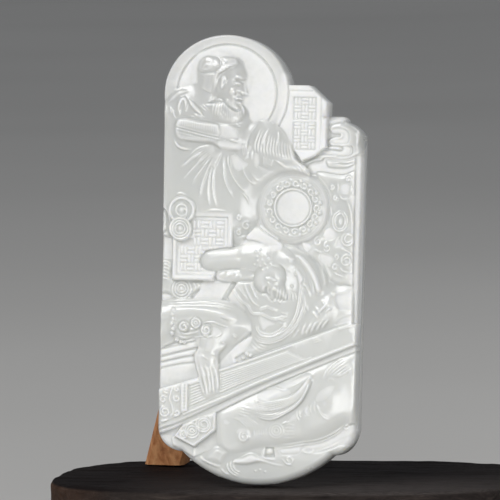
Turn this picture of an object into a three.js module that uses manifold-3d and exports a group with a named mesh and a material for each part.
// White jade plaque carved in relief, propped upright on a weathered wooden slab by a wooden strut.
//
// Millimetres, +Z up. The carved face looks along -Y, the width of the plaque runs along X, and
// the origin is the centre of the slab's flat underside.
//
// The relief is drawn on a flat sheet: x to the right and z up, in millimetres of a face that is
// drawnWidth wide and drawnHeight tall. Every level is a height above the flat back.

import * as THREE from 'three';
import { mergeVertices } from 'three/addons/utils/BufferGeometryUtils.js';
import Module from 'manifold-3d';

const wasm = await Module();
wasm.setup();

// Plaque
const plaqueWidth = 43;
const plaqueHeight = 95;
const plaqueLean = 6;            // degrees that the top leans back
const plaqueRoll = 1.3;          // degrees that the top leans to +X
const plaqueX = -3.5;            // where its foot stands on the slab
const plaqueFootToFront = 4.5;   // from the foot's front to the slab's front edge
const backChamfer = 0.4;

// Levels of the relief, above the flat back
const rimLevel = 3.9;            // edge of the carved face
const groundLevel = 5;
const lowFormLevel = 5.7;        // clouds and far drapery
const robeLevel = 6.3;
const nearFormLevel = 7.2;       // arms, heads and the zither
const discLevel = 7.6;           // the halo disc and the tablet beside it
const rimRound = 1.5;            // width of the rounded edge of the face
const discRound = 0.5;

// Slab
const slabLength = 104;
const slabDepth = 56;
const slabThickness = 18;
const slabSquareness = 3;        // exponent of its superellipse outline
const slabEdgeRound = 1.6;

// Strut
const strutWidth = 8.4;
const strutDepth = 7;
const strutChamfer = 0.8;
const strutFootX = -31.7;
const strutFootToBack = 8;       // from the strut's foot to the slab's back edge
const strutHeadHeight = 60;      // above the slab
const strutHeadOffset = -6.3;     // from the plaque's middle

const restGap = 0.3;             // between pieces that touch

// Drawing of the face
const drawnWidth = 43;
const drawnHeight = 95;
const halfWidth = drawnWidth / 2;
const beyond = 1.5;              // forms at the edge are drawn this far past it
const finestCell = 0.6;          // mm
const cellsAcross = 256;
const flatness = 0.3;            // mm that the facets may leave the drawn surface by
const stepWidth = 0.9;           // run of the slope at a form's outline
const halo = { x: -7.9, z: 82.1, radiusX: 13.6, radiusZ: 12.9 };
const haloGroove = { x: -7.75, z: 82.6, radiusX: 10.75, radiusZ: 10.3 };
const tabletTop = 84.6;
const tabletRight = 13.8;
const ledgeTop = 78.2;
const shoulderTop = 82.4;
const footArcRadius = 23.2;
const footHalfWidth = 16.3;
const mirror = { x: 6.95, z: 58.75, radius: 7.35, band: 5.05, ring: 3.9, field: 3.4 };

const { smoothstep, lerp, degToRad } = THREE.MathUtils;

// A quarter circle: 0 at 0, 1 from 1 on.
function quarterRound(share) {
  const t = THREE.MathUtils.clamp(share, 0, 1);
  return Math.sqrt(1 - (1 - t) ** 2);
}

// Lines

// A smooth line through the points, open or closed.
function smoothLine(points, closed = false, perSpan = 4) {
  const curve = new THREE.CatmullRomCurve3(points.map(([x, z]) => new THREE.Vector3(x, z, 0)), closed);
  const spans = closed ? points.length : points.length - 1;
  return curve.getPoints(spans * perSpan).map((point) => [point.x, point.y]);
}

function closedLine(points) {
  return [...points, points[0]];
}

function ellipseLine({ x, z, radiusX, radiusZ }, grow = 0, count = 48) {
  const line = [];
  for (let i = 0; i <= count; i++) {
    const angle = (2 * Math.PI * i) / count;
    line.push([x + (radiusX + grow) * Math.cos(angle), z + (radiusZ + grow) * Math.sin(angle)]);
  }
  return line;
}

// Distance from a point to a line, and how far along the line it is met, from 0 to 1.
function nearest(line, x, z) {
  let best = Infinity;
  let along = 0;
  for (let i = 0; i + 1 < line.length; i++) {
    const [x0, z0] = line[i];
    const [x1, z1] = line[i + 1];
    const lengthSquared = (x1 - x0) ** 2 + (z1 - z0) ** 2 || 1e-12;
    const t = THREE.MathUtils.clamp(((x - x0) * (x1 - x0) + (z - z0) * (z1 - z0)) / lengthSquared, 0, 1);
    const distance = Math.hypot(x - lerp(x0, x1, t), z - lerp(z0, z1, t));
    if (distance < best) {
      best = distance;
      along = (i + t) / (line.length - 1);
    }
  }
  return { distance: best, along };
}

// Distance to a closed line, positive inside it.
function insideDistance(line, x, z) {
  let inside = false;
  for (let i = 0; i + 1 < line.length; i++) {
    const [x0, z0] = line[i];
    const [x1, z1] = line[i + 1];
    if (z0 > z !== z1 > z && x < x0 + ((z - z0) * (x1 - x0)) / (z1 - z0)) inside = !inside;
  }
  return nearest(line, x, z).distance * (inside ? 1 : -1);
}

// Forms of the carving
//
// A form takes a point of the face and the height that is there already, and gives the new one.
// They are cut in the order in which they are listed.

const forms = [];

function addForm(line, reach, carve) {
  const xs = line.map(([x]) => x);
  const zs = line.map(([, z]) => z);
  const box = [Math.min(...xs) - reach, Math.max(...xs) + reach, Math.min(...zs) - reach, Math.max(...zs) + reach];
  forms.push({ box, carve });
}

// A raised area with a rounded shoulder: the level at its outline, and the crown above that.
function raise(line, level, crown, shoulder) {
  addForm(line, stepWidth, (x, z, height) => {
    const inside = insideDistance(line, x, z);
    const top = level + crown * quarterRound(inside / shoulder);
    return lerp(height, top, smoothstep(inside, -stepWidth / 2, stepWidth / 2));
  });
}

function mound(points, level, crown = 0.8, shoulder = 2) {
  raise(smoothLine(points, true), level, crown, shoulder);
}

function plate(points, level) {
  raise(closedLine(points), level, 0, 1);
}

function knob(x, z, radius, level, crown = 0.4) {
  raise(ellipseLine({ x, z, radiusX: radius, radiusZ: radius }, 0, 20), level, crown, radius);
}

// A rounded rib along a line, or a groove where the rise is below zero. None is finer than a facet.
function rib(line, wantedHalf, rise) {
  const halfWide = Math.max(wantedHalf, finestCell);
  addForm(line, halfWide, (x, z, height) => {
    const { distance, along } = nearest(line, x, z);
    const taper = Math.min(1, 0.3 + 4 * Math.min(along, 1 - along));
    const share = Math.min(1, distance / (halfWide * taper));
    return height + rise * taper * Math.cos((share * Math.PI) / 2) ** 2;
  });
}

function fold(points, halfWide, rise) {
  rib(smoothLine(points), halfWide, rise);
}

// Folds that turn from one line into another.
function fan(first, last, count, halfWide, rise) {
  for (let i = 0; i < count; i++) {
    const share = i / (count - 1);
    fold(first.map(([x, z], k) => [lerp(x, last[k][0], share), lerp(z, last[k][1], share)]), halfWide, rise);
  }
}

function ring(x, z, radius, wantedHalf, rise) {
  const halfWide = Math.max(wantedHalf, finestCell);
  addForm(ellipseLine({ x, z, radiusX: radius, radiusZ: radius }), halfWide, (px, pz, height) => {
    const share = Math.min(1, Math.abs(Math.hypot(px - x, pz - z) - radius) / halfWide);
    return height + rise * Math.cos((share * Math.PI) / 2) ** 2;
  });
}

// A curl whose radius shrinks evenly towards its middle.
function curl(x, z, radius, turns, halfWide, rise, start = 0) {
  const line = [];
  const steps = Math.ceil(turns * 14);
  for (let i = 0; i <= steps; i++) {
    const share = i / steps;
    const angle = start + turns * 2 * Math.PI * share;
    const reach = radius * (1 - 0.85 * share);
    line.push([x + reach * Math.cos(angle), z + reach * Math.sin(angle)]);
  }
  rib(line, halfWide, rise);
}

// Rows of plain strokes that fill a box, as a seal's face has, and that read as no letter.
function strokeRows(left, right, bottom, top, rows, depth) {
  const pitch = (top - bottom) / rows;
  for (let i = 0; i < rows; i++) {
    const z = bottom + (i + 0.5) * pitch;
    const middle = lerp(left, right, i % 2 ? 0.62 : 0.38);
    rib([[left, z], [middle - 0.35, z]], pitch * 0.32, -depth);
    rib([[middle + 0.35, z], [right, z]], pitch * 0.32, -depth);
  }
}

// A head in profile on the proportions of a drawing manual: the skull is a circle, and the face
// hangs from it by three equal shares from the hairline to the chin. Facing is 1 for +X.
function head(x, z, skull, tilt, facing, level) {
  const turn = degToRad(tilt);
  const place = (forward, up) => [
    x + facing * skull * (forward * Math.cos(turn) - up * Math.sin(turn)),
    z + skull * (forward * Math.sin(turn) + up * Math.cos(turn)),
  ];
  const outline = [
    place(-0.95, 0.3), place(-0.55, 0.86), place(0.1, 1), place(0.75, 0.72), place(0.98, 0.3),
    place(0.96, -0.1), place(1.0, -0.6), place(0.92, -1.0), place(0.55, -1.18), place(0.1, -0.95),
    place(-0.3, -0.8), place(-0.8, -0.45),
  ];
  mound(outline, level, 1.3, skull * 0.7);
  fold([place(0.9, 0.1), place(1.02, -0.2), place(1.16, -0.38), place(0.98, -0.48)], skull * 0.13, 0.4);
  fold([place(0.5, 0.12), place(0.78, 0.14), place(0.95, 0.04)], skull * 0.1, 0.25);
  knob(...place(0.72, -0.08), skull * 0.09, level + 1.1, 0.2);
  fold([place(0.7, -0.72), place(0.9, -0.7), place(1, -0.66)], skull * 0.07, -0.2);
  fold([place(0.1, 0.05), place(0.2, -0.2), place(0.08, -0.42)], skull * 0.12, 0.35);
}

// Far ground: the halo disc, the tablet and the clouds

function carveHaloAndTablet() {
  raise(ellipseLine(halo, beyond), discLevel, 0, 1);
  rib(ellipseLine(haloGroove), 0.35, -0.55);
  plate([[4, 87], [10.7, 87], [tabletRight, 84], [tabletRight, 70.9], [12.2, 70.4], [11.6, 69.3],
    [8.2, 68.4], [3.4, 76]], discLevel - 0.2);
  rib([[5.8, 83.4], [10.4, 83.4]], 0.25, -0.3);
  rib([[12.7, 82], [12.7, 71]], 0.25, -0.3);
  strokeRows(6.8, 11.3, 71, 82, 4, 0.3);
  fold([[5.3, 85.5], [5.5, 82], [5, 79], [3.6, 76]], 0.35, -0.6);
}

function carveRightClouds() {
  mound([[17.9, 77.4], [15, 76.7], [14.2, 75.4], [15.2, 74.4], [16.6, 74.1], [14.4, 73.3], [14.1, 72.2],
    [17.6, 71], [15, 70.6], [12.9, 70.4], [12.6, 69.2], [11.2, 68.4], [10.2, 67.4], [11, 66],
    [15.6, 64.8], [23, 65], [23, 78]], lowFormLevel, 0.7, 1.2);
  fold([[14.2, 68.6], [17, 68.3], [19, 68.6], [21.4, 69.8]], 0.5, -0.4);
  mound([[12.4, 66.2], [17, 65.6], [23, 65.4], [23, 44], [19, 43.4], [15.6, 45.6], [12.6, 49.6],
    [14.4, 54.6], [14.8, 61]], lowFormLevel - 0.2, 0.8, 1.6);
  knob(17.9, 63.1, 1, 6.4);
  knob(14.7, 53.3, 1.4, 6.5, 0.5);
  ring(17, 56.1, 1.35, 0.4, 0.6);
  curl(19.1, 52.8, 1.3, 1.5, 0.3, 0.45);
  curl(14.8, 63.4, 0.9, 1.2, 0.3, 0.45);
  fold([[17.6, 61], [19.4, 60.6], [19.6, 58]], 0.45, 0.6);
  fold([[19.2, 51], [20.4, 48.6], [20.2, 46.4]], 0.5, 0.6);
  knob(14, 48, 1.5, 6.4);
}

// The seated figure at the top

function carveUpperRobe() {
  mound([[-23, 81], [-20.6, 82], [-18.3, 83.7], [-14.2, 84.6], [-10, 83], [-4, 80], [-2.6, 77.2], [-1.4, 76.6],
    [0.3, 77.1], [4.2, 75.3], [6.7, 71], [7.6, 68.6], [9.9, 66.6], [9.6, 63.5], [3, 62], [0, 60],
    [-0.4, 55.5], [-3.4, 52.4], [-6, 49.8], [-14, 49], [-20, 51], [-23, 53]], robeLevel - 0.4, 2, 5);
  fan([[-10.5, 71.4], [-13.5, 70.8], [-15.6, 69.2], [-17.4, 66.8]],
    [[-9.4, 70.4], [-9.9, 69.2], [-10.2, 67.8], [-10.4, 66]], 4, 0.7, 0.6);
  fold([[-11.6, 67.5], [-11.8, 63], [-11.4, 60.5], [-10.9, 58]], 0.5, 0.45);
  fold([[-10.2, 66.5], [-10.2, 63], [-9.7, 60.8], [-8.6, 58]], 0.5, 0.45);
  fold([[-8.1, 69.5], [-8, 66], [-7.4, 63.6], [-5.4, 60.1]], 0.5, 0.5);
  fold([[-7, 69], [-6.6, 66.6], [-5.6, 64.4], [-3.9, 61.8]], 0.5, 0.5);
  fold([[-3.1, 67.6], [-2.6, 65.9], [-1.4, 64], [0.2, 62.7]], 0.5, 0.5);
  fold([[-3, 62], [-2.6, 60], [-2.3, 58.2]], 0.5, 0.4);
  fold([[-17.9, 77.6], [-17.8, 80.2], [-16.7, 81.4], [-15, 79.6], [-12.4, 77.4]], 0.6, 0.6);
}

function carveUpperHead() {
  head(-9, 85.2, 4.6, -14, 1, nearFormLevel - 0.2);
  mound([[-13.8, 86], [-14, 89], [-11.6, 90.4], [-7.4, 90.2], [-4.9, 88.8], [-5.2, 87.4], [-7.6, 87.6],
    [-9.6, 86], [-10.6, 83], [-12.8, 82.6]], nearFormLevel + 0.2, 1.2, 2.2);
  knob(-12.2, 88.7, 2, nearFormLevel + 0.4, 1.2);
  ring(-9.6, 83.2, 0.75, 0.35, 0.4);
  mound([[-9.4, 81.4], [-6.4, 80.8], [-4.2, 80.2], [-3.4, 78.2], [-4.6, 76.4], [-7.4, 76.2], [-9.8, 77.6],
    [-10.4, 79.6]], nearFormLevel + 0.6, 0.6, 1.2);
  fan([[-9, 81], [-9.4, 79], [-8.6, 77]], [[-5, 80.4], [-4.6, 78.8], [-4.8, 77.2]], 3, 0.6, 0.4);
}

function carveUpperArms() {
  mound([[-18.7, 76], [-17.4, 77.4], [-13, 76.8], [-8, 76], [-5, 75.2], [-2.6, 72.6], [-3.6, 70.6], [-8.4, 71.4],
    [-13, 71.6], [-17.8, 72.8]], nearFormLevel, 0.8, 1);
  fan([[-18.2, 77.1], [-14, 76.5], [-9.6, 75.8]], [[-18, 75.2], [-14, 74.1], [-8.8, 73.1]], 2, 0.6, 0.3);
  fold([[-18.2, 75.2], [-14, 74.1], [-8.8, 73.1], [-4.4, 72.4]], 0.35, 0.4);
  mound([[-3.4, 70], [-3.6, 73], [-2.4, 75.8], [-0.4, 77.2], [2.1, 76.7], [4.2, 75.2], [5.7, 73.1], [6.8, 70.4],
    [8, 68.2], [10, 66.4], [9.8, 64.2], [7.4, 64.2], [3.4, 66.4], [-1.5, 68.2]], nearFormLevel - 0.1, 1.3, 2.4);
  fan([[-0.4, 70.6], [0.4, 72.6], [1.6, 74.4]], [[5.4, 68.8], [5.4, 71.4], [4.2, 74]], 4, 0.7, 0.5);
  fold([[3.2, 68.3], [5, 67.3], [6.6, 66.3], [8.4, 64.6]], 0.45, 0.6);
  fan([[7, 66.8], [8.6, 65.6], [9.2, 64.2]], [[8.4, 68.4], [9.4, 67.2], [10.1, 65.8]], 3, 0.35, 0.45);
}

function carveMirror() {
  const { x, z, radius, band, field } = mirror;
  knob(x, z, radius, nearFormLevel - 0.6, 0);
  ring(x, z, radius - 0.4, 0.5, 0.35);
  ring(x, z, mirror.ring, 0.4, 0.5);
  const bosses = 14;
  for (let i = 0; i < bosses; i++) {
    const angle = (2 * Math.PI * i) / bosses;
    knob(x + band * Math.cos(angle), z + band * Math.sin(angle), 0.7, nearFormLevel - 0.3, 0.4);
  }
  knob(x, z, field, nearFormLevel - 0.5, 0);
}

// The square seal and the round clouds at the left

function carveSeal() {
  const level = nearFormLevel - 0.3;
  plate([[-18.9, 51.8], [-14.2, 53], [-14, 57.2], [-6.1, 57.2], [-6.1, 50], [-10, 49], [-10, 43.1], [-18.9, 43.1]], level);
  rib([[-14, 56.2], [-7, 56.2], [-7, 50.2]], 0.25, -0.3);
  rib([[-17.9, 51.4], [-17.9, 44.1], [-10, 44.1]], 0.25, -0.3);
  strokeRows(-13.2, -7.8, 50.6, 55.6, 2, 0.3);
  strokeRows(-17.2, -12.8, 44.8, 51, 2, 0.3);
}

function carveLeftClouds() {
  mound([[-23, 58.4], [-20.6, 57.8], [-19.8, 55.4], [-20.6, 53.4], [-23, 53]], lowFormLevel, 0.8, 1);
  for (const [x, z, radius, level] of [[-16.9, 57.7, 2.9, 7], [-17.2, 53.8, 2.35, 7.4], [-16.9, 41.1, 2.2, 6.2]]) {
    knob(x, z, radius, level, 0.3);
    ring(x, z, radius * 0.85, 0.35, 0.4);
    ring(x, z, radius * 0.45, 0.35, 0.4);
  }
  mound([[-23, 46], [-19.2, 45.4], [-19, 43], [-12.2, 42.9], [-12.4, 41.4], [-14.4, 40.2], [-14.8, 38.6],
    [-23, 38]], lowFormLevel - 0.2, 0.6, 1.2);
  knob(-16.9, 41.1, 2.1, lowFormLevel + 0.5, 0.3);
  ring(-16.9, 41.1, 1.7, 0.3, 0.35);
  ring(-16.9, 41.1, 0.7, 0.3, 0.35);
}

// The bowed figure who plays the zither

function carveLowerRobe() {
  mound([[-9.4, 17], [-4, 18.8], [4, 22.6], [12, 26], [20, 29.6], [23, 30.6], [23, 12], [18, 11], [12, 8.8],
    [4, 7.8], [-4, 6.4], [-8, 5.4], [-10, 8]], lowFormLevel - 0.2, 1.4, 3);
  fan([[-1.6, 19.6], [3, 21.8], [8, 23.4], [11.6, 23.9]], [[-2, 15.6], [2, 14.3], [7, 15.9], [11.7, 22.6]], 5, 0.7, 0.6);
  mound([[0.1, 18.5], [2, 19.8], [4.5, 20.8], [8.5, 20.6], [10.6, 21.8], [8, 19.6], [5, 18.9], [2, 18.2]],
    robeLevel + 0.7, 0.3, 0.8);
  mound([[12.8, 19], [14, 21], [16, 22], [17, 23], [19, 22.4], [19.8, 18], [20.2, 13.8], [17, 11.6], [12, 10],
    [9.4, 12], [8.6, 14.6], [11.6, 17]], robeLevel, 1.1, 2.4);
  curl(16.2, 22, 1.2, 1, 0.4, 0.5);
  fan([[9.2, 12.6], [9, 14.4], [9.2, 16]], [[13.2, 14.8], [12.4, 16.4], [12.2, 18.4]], 3, 0.7, 0.5);
  fan([[13.6, 22.6], [15.4, 24.6], [18, 25]], [[14.6, 21.4], [16.4, 23.2], [18.8, 22.8]], 2, 0.7, 0.5);
  knob(-2.8, 10.5, 1.7, robeLevel, 0.5);
  ring(-2.8, 10.3, 1.1, 0.35, 0.3);
  knob(4.2, 11.9, 2, robeLevel, 0.5);
  fan([[-6.6, 13.4], [-5, 14.4], [-2, 14.8]], [[-4, 12], [-1, 12.6], [2, 12.4]], 2, 0.6, 0.4);
}

function carveFoot() {
  fold([[-11.8, 5.4], [-9.6, 4.6], [-8.4, 4.4]], 0.7, 0.8);
  mound([[-9.6, 7.4], [-8, 8.2], [-6.2, 7], [-6, 5], [-7.4, 4.2], [-9.2, 5]], 5.6, 0.7, 1.2);
  fold([[-5.6, 5.4], [-4.6, 4.6], [-1, 5.8], [2.6, 5.2], [6.4, 4.4], [8.2, 4.6]], 0.9, 1.3);
  knob(3, 7.4, 1.1, 6.2);
  fold([[5, 7.2], [9.8, 7.4], [14, 9.2], [17.6, 11], [20, 12.8]], 0.8, 1.2);
  fan([[-6.8, 3.6], [-5.6, 2.6], [-4, 2.2]], [[-5.6, 4.6], [-4.8, 3.6], [-3.6, 3.2]], 2, 0.4, 0.5);
  fold([[15.2, 8.2], [17, 9], [19, 10.2]], 0.5, 0.5);
}

function carveZither() {
  const side = [[-23, 10.2], [-20.4, 10.8], [-16, 12.2], [-10, 15.2], [-4, 18.1], [4, 21.6], [20, 28.4], [23, 29.8]];
  plate([...side, [23, 32], [-12, 20], [-23, 14]], robeLevel - 0.2);
  plate([[-23, 19.2], [-12.4, 22.8], [-8.6, 24], [7.4, 30], [20.4, 35], [23, 35], [23, 31.4], [20, 30.1],
    [0, 21.5], [-8, 18.2], [-15, 15], [-23, 11.6]], nearFormLevel + 0.1);
  rib([[-8.6, 23.8], [7.4, 29.8]], 0.6, 0.35);
  fan([[-14.6, 20.2], [-3.2, 24.3], [8, 28.4]], [[-14.6, 16.2], [-1.4, 21.9], [12, 27.2]], 3, 0.6, 0.35);
  rib([[-15.3, 15.2], [-8, 18.5], [0, 21.8], [20, 30.3]], 0.4, 0.35);
  plate([[-21.6, 19.4], [-16, 21.2], [-16, 15], [-21.6, 12.6]], nearFormLevel + 0.3);
  for (const [x, z, radius] of [[-19.4, 15, 1.1], [-19.8, 17.2, 0.7], [-17.6, 18.2, 0.75], [-17.3, 14.9, 0.6]]) {
    curl(x, z, radius, 1.5, 0.28, 0.4);
  }
  plate([[-15.9, 21.2], [-14.8, 21.4], [-14.8, 15.6], [-15.9, 15.1]], nearFormLevel + 0.8);
}

function carveLowerBox() {
  mound([[-22.6, 10.2], [-17.6, 10.2], [-18.2, 7], [-22.6, 6.4]], groundLevel, 0, 1);
  plate([[-18.2, 10], [-18.1, 7.6], [-13.8, 5.4], [-9.4, 8], [-9, 11.6], [-13.6, 9]], robeLevel - 0.4);
  plate([[-17.9, 10.1], [-13.6, 7.9], [-9, 11.5], [-9, 15.4], [-12.8, 14]], robeLevel + 0.4);
  curl(-11.4, 12.8, 1.6, 2, 0.3, 0.35);
  curl(-13.8, 11, 1.4, 1.5, 0.3, 0.35);
  curl(-15.8, 10.6, 1, 1.3, 0.3, 0.35);
}

function carveLowerSleeves() {
  mound([[-23, 28.2], [-17, 29.6], [-12.4, 30.4], [-13.2, 25.4], [-17.4, 25], [-23, 23.4]], robeLevel - 0.2, 0, 1);
  fan([[-23, 27.2], [-18, 28.4], [-12.6, 29.4]], [[-23, 24.4], [-18, 25.6], [-13.4, 26.2]], 2, 0.7, -0.5);
  mound([[-23, 38.8], [-18.6, 38.9], [-8, 38.9], [-5, 37.9], [-3.4, 36.2], [-2, 33.8], [-2.1, 31.8], [-4, 30.8],
    [-6.6, 28.4], [-8.8, 25], [-9.8, 27], [-10.4, 30.6], [-13, 30.4], [-17, 29.6], [-23, 28]], robeLevel, 1.9, 3.6);
  curl(-15.9, 33, 1, 1.5, 0.35, 0.4, Math.PI);
  curl(-13.5, 34, 1.1, 1.5, 0.35, 0.4);
  curl(-11.1, 32.6, 1.3, 1.7, 0.35, 0.4, 1.5);
  fold([[-10.6, 33.9], [-8, 33.9], [-6, 33.2]], 0.35, 0.35);
  fold([[-17.8, 31], [-15.6, 30.7], [-12, 32]], 0.35, 0.4);
  fan([[-16, 36.4], [-10, 36.8], [-5.4, 35.4]], [[-13, 37.8], [-9.4, 37.8], [-5.6, 36.8]], 2, 0.6, -0.3);
}

function carveLowerHand() {
  mound([[-12.4, 31], [-10.4, 31], [-9.2, 28.6], [-8.4, 26], [-8.2, 22], [-8.4, 19.6], [-9.8, 18.4],
    [-11.3, 19.4], [-12.7, 22.6], [-13.4, 26], [-13.2, 29]], nearFormLevel + 0.3, 0.8, 1.4);
  fan([[-12.8, 26], [-11.9, 22.6], [-11.1, 19.8]], [[-9, 25.6], [-8.8, 23], [-8.6, 20.6]], 4, 0.6, 0.6);
  fold([[-9.6, 30.6], [-10.4, 29.2], [-11, 28]], 0.6, 0.5);
}

function carveBowedFigure() {
  mound([[7, 50.2], [9.8, 49.8], [12.6, 46.5], [14.6, 42.5], [17, 42], [20, 43], [23, 42], [23, 32.4], [15, 30.6],
    [8, 29.4], [0, 29.4], [-2.4, 31.6], [-3, 35.4], [-5.8, 38], [-6.4, 41.6], [-5, 43]], robeLevel - 0.2, 1.1, 2.6);
  fan([[-6, 42.2], [-4, 39.6], [-2, 37.6], [1, 36.2]], [[-2.6, 43.4], [-1.4, 40.8], [0.2, 38.2], [2.6, 37]], 3, 0.7, 0.55);
  fan([[8, 49.4], [10.6, 46.6], [11.8, 43], [12, 40]], [[11.6, 49], [13.4, 46], [14.6, 43.6], [14.8, 41]], 3, 0.7, 0.6);
  fan([[8.6, 45], [8.2, 38], [4.4, 32.6], [0.4, 32.6]], [[10, 43], [9.4, 36], [4.8, 30.6], [-0.6, 31.2]], 2, 0.7, 0.6);
  fold([[8.8, 42.4], [9.9, 40], [10.6, 37.4]], 0.45, 0.6);
  fold([[-1.6, 37], [1.4, 36.4], [4, 35.2], [6, 36]], 0.4, 0.4);
}

function carveBowedHead() {
  head(3.2, 44.6, 4.4, 38, -1, nearFormLevel - 0.1);
  mound([[-0.6, 48.6], [2, 50.4], [6, 49.8], [8.4, 46.8], [8.6, 42.6], [6.8, 42], [5.6, 45], [2.4, 47.2]],
    nearFormLevel + 0.2, 1, 1.8);
  fan([[4.4, 47], [6.4, 44.4], [6.8, 41]], [[6, 48.6], [8, 45.6], [8.4, 41.6]], 3, 0.6, 0.4);
  mound([[-12.7, 47.3], [-11.6, 49], [-9, 49.9], [-5, 50.3], [-1.4, 50.2], [0.4, 48.6], [0, 46], [-2.4, 45.2],
    [-5, 45.3], [-9, 45.5], [-11.6, 45.7]], nearFormLevel, 1.3, 2.2);
  fold([[-10, 49.2], [-12, 47.4], [-10, 45.9]], 0.35, -0.25);
  mound([[-9.4, 45.2], [-7, 45.6], [-3, 45.2], [-1, 44.4], [-4.5, 43], [-8.8, 43.2]], nearFormLevel - 0.4, 0.5, 0.9);
  for (const [x, z] of [[-0.8, 49.2], [0.4, 46.4], [1.9, 44]]) knob(x, z, 0.7, nearFormLevel + 1, 0.3);
}

function carvePlayingHand() {
  mound([[9.6, 34.6], [10.4, 36.6], [12.6, 39.2], [15.2, 40.4], [16.6, 38], [15.8, 34.6], [13.4, 32], [10, 31.6]],
    nearFormLevel, 0.7, 1.4);
  fan([[10.3, 31.8], [10.6, 33], [11.2, 34.4]], [[13.2, 34], [13.8, 35.6], [14.4, 37]], 4, 0.6, 0.55);
  fold([[12.9, 36.7], [13.8, 37.6], [14.8, 38.6]], 0.5, 0.5);
  mound([[16.6, 40], [19.4, 40.4], [19.8, 38.2], [17.8, 38.2]], nearFormLevel - 0.6, 0.4, 0.8);
  mound([[16.4, 34.6], [18.2, 36.2], [23, 38], [23, 35.8], [19.4, 34.8]], nearFormLevel - 0.4, 0.4, 0.8);
}

function carveFace() {
  carveRightClouds();
  carveHaloAndTablet();
  carveUpperRobe();
  carveUpperHead();
  carveUpperArms();
  carveMirror();
  carveLeftClouds();
  carveSeal();
  carveLowerRobe();
  carveFoot();
  carveLowerBox();
  carveBowedFigure();
  carveZither();
  carveLowerSleeves();
  carveLowerHand();
  carveBowedHead();
  carvePlayingHand();
}

// Outline of the plaque, from the foot's left end round to the right

function plaqueOutline() {
  const left = -halfWidth;
  const right = halfWidth;
  const footAngle = Math.asin(footHalfWidth / footArcRadius);
  const footTop = footArcRadius * (1 - Math.cos(footAngle));
  const shape = new THREE.Shape();
  shape.moveTo(-footHalfWidth, footTop);
  shape.absarc(0, footArcRadius, footArcRadius, -Math.PI / 2 - footAngle, -Math.PI / 2 + footAngle, false);
  shape.bezierCurveTo(18.6, footTop, 20.8, 8.4, right, 12);
  shape.lineTo(right, 73.4);
  shape.bezierCurveTo(right, 74.8, 19.8, 76.3, 17.8, 77);
  shape.quadraticCurveTo(17.5, ledgeTop, 16.4, ledgeTop);
  shape.lineTo(tabletRight, ledgeTop);
  shape.lineTo(tabletRight, 81);
  shape.lineTo(9.8, tabletTop);
  shape.lineTo(5.4, tabletTop);
  const meeting = Math.asin((tabletTop - halo.z) / halo.radiusZ);
  shape.absellipse(halo.x, halo.z, halo.radiusX, halo.radiusZ, meeting, Math.PI, false);
  shape.lineTo(left, 11.4);
  shape.bezierCurveTo(left, 8.6, -19, footTop, -footHalfWidth, footTop);
  return shape;
}

const outlineShape = plaqueOutline();
const outlineLine = closedLine(outlineShape.getPoints(20).map((point) => [point.x, point.y]));

function heightAt(x, z) {
  let height = groundLevel;
  for (const { box, carve } of forms) {
    if (x > box[0] && x < box[1] && z > box[2] && z < box[3]) height = carve(x, z, height);
  }
  const onDisc = x < tabletRight + beyond && z > (x < halo.x ? shoulderTop : ledgeTop);
  const rim = onDisc ? discLevel - discRound : rimLevel;
  const inward = insideDistance(outlineLine, x, z);
  return lerp(rim, height, quarterRound(inward / (onDisc ? discRound : rimRound)));
}

// A right-triangle mesh over a square grid, fine only where the surface needs it. The implicit
// tree numbers each triangle, and a split point keeps the largest error of all that hangs on it.
function facetSurface(heights, size) {
  const last = size - 1;
  const errors = new Float32Array(size * size);
  const smallest = last * last;
  const triangleCount = smallest * 2 - 2;
  for (let index = triangleCount - 1; index >= 0; index--) {
    let id = index + 2;
    let a = id & 1 ? [0, 0] : [last, last];
    let b = id & 1 ? [last, last] : [0, 0];
    let c = id & 1 ? [last, 0] : [0, last];
    for (id >>= 1; id > 1; id >>= 1) {
      const middle = [(a[0] + b[0]) / 2, (a[1] + b[1]) / 2];
      if (id & 1) [a, b, c] = [c, a, middle];
      else [a, b, c] = [b, c, middle];
    }
    const split = ((a[1] + b[1]) / 2) * size + (a[0] + b[0]) / 2;
    const between = (heights[a[1] * size + a[0]] + heights[b[1] * size + b[0]]) / 2;
    errors[split] = Math.max(errors[split], Math.abs(between - heights[split]));
    if (index < triangleCount - smallest) {
      const left = ((a[1] + c[1]) / 2) * size + (a[0] + c[0]) / 2;
      const right = ((b[1] + c[1]) / 2) * size + (b[0] + c[0]) / 2;
      errors[split] = Math.max(errors[split], errors[left], errors[right]);
    }
  }
  const triangles = [];
  const divide = (a, b, c) => {
    const middle = [(a[0] + b[0]) / 2, (a[1] + b[1]) / 2];
    const small = Math.abs(a[0] - c[0]) + Math.abs(a[1] - c[1]) <= 1;
    if (small || errors[middle[1] * size + middle[0]] <= flatness) {
      triangles.push([b, a, c]);
      return;
    }
    divide(c, a, middle);
    divide(b, c, middle);
  };
  divide([0, 0], [last, last], [last, 0]);
  divide([last, last], [0, 0], [0, last]);
  return triangles;
}

// Solids

function toManifold(geometry) {
  const bare = geometry.clone();
  bare.deleteAttribute('normal');
  bare.deleteAttribute('uv');
  const merged = mergeVertices(bare, 1e-4);
  return new wasm.Manifold(new wasm.Mesh({
    numProp: 3,
    vertProperties: new Float32Array(merged.attributes.position.array),
    triVerts: new Uint32Array(merged.index.array),
  }));
}

function toGeometry(manifold) {
  const { vertProperties, triVerts } = manifold.getMesh();
  const geometry = new THREE.BufferGeometry();
  geometry.setAttribute('position', new THREE.BufferAttribute(vertProperties, 3));
  geometry.setIndex(new THREE.BufferAttribute(triVerts, 1));
  geometry.computeVertexNormals();
  return geometry;
}

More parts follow.
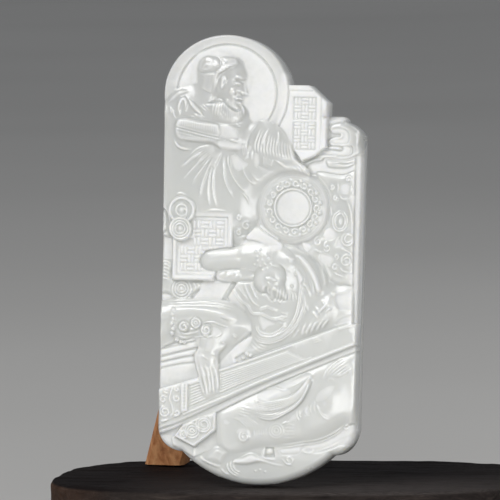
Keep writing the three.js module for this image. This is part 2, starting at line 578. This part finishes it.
// The carved face as a deep square block, whose sides and back the outline then cuts away.
function faceBlock() {
  const size = cellsAcross + 1;
  const left = (-cellsAcross * finestCell) / 2;
  const bottom = (drawnHeight - cellsAcross * finestCell) / 2;
  const blockBack = 2;
  const heights = new Float32Array(size * size);
  for (let row = 0; row < size; row++) {
    for (let column = 0; column < size; column++) {
      const x = left + column * finestCell;
      const drawn = Math.abs(x) < halfWidth + beyond;
      heights[row * size + column] = drawn ? heightAt(x, bottom + row * finestCell) : rimLevel;
    }
  }
  const positions = [];
  const front = ([column, row]) => [
    left + column * finestCell, -heights[row * size + column], bottom + row * finestCell];
  const back = ([column, row]) => [left + column * finestCell, blockBack, bottom + row * finestCell];
  const add = (...corners) => corners.forEach((corner) => positions.push(...corner));
  const onSide = (a, b) => [0, 1].some((axis) => a[axis] === b[axis] && a[axis] % cellsAcross === 0);
  for (const [a, b, c] of facetSurface(heights, size)) {
    add(front(a), front(b), front(c));
    add(back(a), back(c), back(b));
    for (const [p, q] of [[a, b], [b, c], [c, a]]) {
      if (!onSide(p, q)) continue;
      add(front(p), back(p), back(q));
      add(front(p), back(q), front(q));
    }
  }
  const geometry = new THREE.BufferGeometry();
  geometry.setAttribute('position', new THREE.Float32BufferAttribute(positions, 3));
  return geometry;
}

function plaqueGeometry() {
  carveFace();
  const prism = new THREE.ExtrudeGeometry(outlineShape, {
    depth: 2 * discLevel, curveSegments: 20, steps: 1,
    bevelEnabled: true, bevelSegments: 1, bevelSize: backChamfer, bevelThickness: backChamfer, bevelOffset: -backChamfer,
  });
  prism.translate(0, 0, backChamfer);
  prism.rotateX(Math.PI / 2);
  const carved = toGeometry(toManifold(faceBlock()).intersect(toManifold(prism)));
  return carved.scale(plaqueWidth / drawnWidth, 1, plaqueHeight / drawnHeight);
}

// A rounded slab: |x / a|^n + |y / b|^n = 1, with n its squareness.
function slabReach(x) {
  return (slabDepth / 2) * (1 - Math.abs((2 * x) / slabLength) ** slabSquareness) ** (1 / slabSquareness);
}

function slabGeometry() {
  const sides = 48;
  const power = 2 / slabSquareness;
  const shape = new THREE.Shape();
  for (let i = 0; i < sides; i++) {
    const angle = (2 * Math.PI * i) / sides;
    const x = (slabLength / 2) * Math.sign(Math.cos(angle)) * Math.abs(Math.cos(angle)) ** power;
    const y = (slabDepth / 2) * Math.sign(Math.sin(angle)) * Math.abs(Math.sin(angle)) ** power;
    if (i === 0) shape.moveTo(x, y);
    else shape.lineTo(x, y);
  }
  shape.closePath();
  const geometry = new THREE.ExtrudeGeometry(shape, {
    depth: slabThickness - 2 * slabEdgeRound, steps: 1, bevelEnabled: true, bevelSegments: 2,
    bevelSize: slabEdgeRound, bevelThickness: slabEdgeRound, bevelOffset: -slabEdgeRound,
  });
  return geometry.translate(0, 0, slabEdgeRound);
}

function boxFrom(width, depth, height, matrix) {
  return toManifold(new THREE.BoxGeometry(width, depth, height).applyMatrix4(matrix));
}

// A squared bar from the slab to the plaque's back, cut flat to both with the rest gap.
function strutGeometry(backPlane) {
  const foot = new THREE.Vector3(strutFootX, slabReach(strutFootX) - strutFootToBack, slabThickness);
  const headX = plaqueX + strutHeadOffset;
  const head = new THREE.Vector3(headX, 0, slabThickness + strutHeadHeight).applyMatrix4(backPlane.onto);
  const axis = new THREE.Vector3().subVectors(head, foot);
  const overrun = strutWidth;
  const length = axis.length() + 2 * overrun;
  const half = strutWidth / 2;
  const deep = strutDepth / 2;
  const section = new THREE.Shape();
  section.moveTo(-half + strutChamfer, -deep);
  section.lineTo(half - strutChamfer, -deep);
  section.lineTo(half, -deep + strutChamfer);
  section.lineTo(half, deep - strutChamfer);
  section.lineTo(half - strutChamfer, deep);
  section.lineTo(-half + strutChamfer, deep);
  section.lineTo(-half, deep - strutChamfer);
  section.lineTo(-half, -deep + strutChamfer);
  section.closePath();
  const bar = new THREE.ExtrudeGeometry(section, { depth: length, steps: 1, bevelEnabled: false });
  bar.translate(0, 0, -overrun);
  const up = axis.clone().normalize();
  const across = new THREE.Vector3().crossVectors(new THREE.Vector3(0, 1, 0), up).normalize();
  const deepAxis = new THREE.Vector3().crossVectors(up, across);
  bar.applyMatrix4(new THREE.Matrix4().makeBasis(across, deepAxis, up).setPosition(foot));
  const cutter = 4 * slabLength;
  const below = new THREE.Matrix4().makeTranslation(0, 0, slabThickness + restGap - cutter / 2);
  const before = backPlane.frame.clone().multiply(new THREE.Matrix4().makeTranslation(0, restGap - cutter / 2, 0));
  return toGeometry(toManifold(bar)
    .subtract(boxFrom(cutter, cutter, cutter, below))
    .subtract(boxFrom(cutter, cutter, cutter, before)));
}

// Assembly

function material(colour, roughness) {
  return new THREE.MeshStandardMaterial({ color: colour, roughness, metalness: 0 });
}

function named(name, geometry, finish) {
  const mesh = new THREE.Mesh(geometry, finish);
  mesh.name = name;
  return mesh;
}

const jade = material(0xe4e3da, 0.25);
const darkWood = material(0x2a2422, 0.85);
const paleWood = material(0x9a7a5c, 0.8);

const plaque = named('jade_plaque', plaqueGeometry(), jade);
const plaqueStand = new THREE.Group();
plaqueStand.rotation.set(-degToRad(plaqueLean), degToRad(plaqueRoll), 0);
plaqueStand.add(plaque);
const turned = new THREE.Box3().setFromObject(plaqueStand, true);
plaqueStand.position.set(
  plaqueX,
  plaqueFootToFront - slabReach(plaqueX) - turned.min.y,
  slabThickness + restGap - turned.min.z,
);
plaqueStand.updateMatrixWorld(true);

// The plane of the plaque's back: its frame, and a map that moves a point along Y onto it.
function planeOfBack(frame) {
  const normal = new THREE.Vector3(0, 1, 0).transformDirection(frame);
  const point = new THREE.Vector3().setFromMatrixPosition(frame);
  const onto = new THREE.Matrix4().set(
    1, 0, 0, 0,
    -normal.x / normal.y, 0, -normal.z / normal.y, normal.dot(point) / normal.y,
    0, 0, 1, 0,
    0, 0, 0, 1,
  );
  return { frame, onto };
}

const object = new THREE.Group();
object.add(
  plaqueStand,
  named('stand_slab', slabGeometry(), darkWood),
  named('stand_strut', strutGeometry(planeOfBack(plaqueStand.matrixWorld)), paleWood),
);

export default object;
